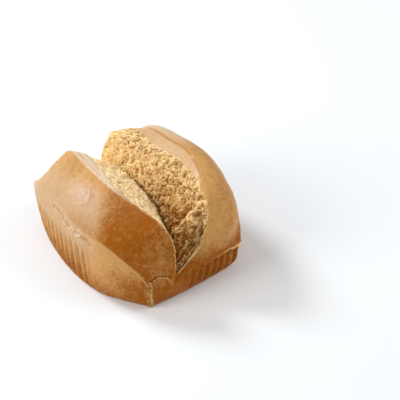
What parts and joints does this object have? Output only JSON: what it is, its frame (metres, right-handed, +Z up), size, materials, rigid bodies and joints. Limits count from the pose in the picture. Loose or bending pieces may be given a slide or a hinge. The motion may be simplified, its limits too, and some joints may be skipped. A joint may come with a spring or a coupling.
{
  "type": "brown sugar bun",
  "caption": "Steamed brown sugar bun raised in a pleated paper case, its dome burst open along one deep cleft of spongy crumb.",
  "frame": {"origin": "bottom centre of the bun, on the plane it rests on", "axes": "+Y along the cleft, away from the pleated near end; +X across the cleft, toward the taller lobe; +Z up"},
  "size_m": [0.0912, 0.1104, 0.0517],
  "materials": {
    "steamed_dough": "smooth tan-brown steamed skin with a soft sheen, and matt spongy lighter brown crumb in the cleft; leather stands in for steamed dough"
  },
  "bodies": {
    "root": {"brown_sugar_bun": "steamed_dough"}
  },
  "joints": []
}
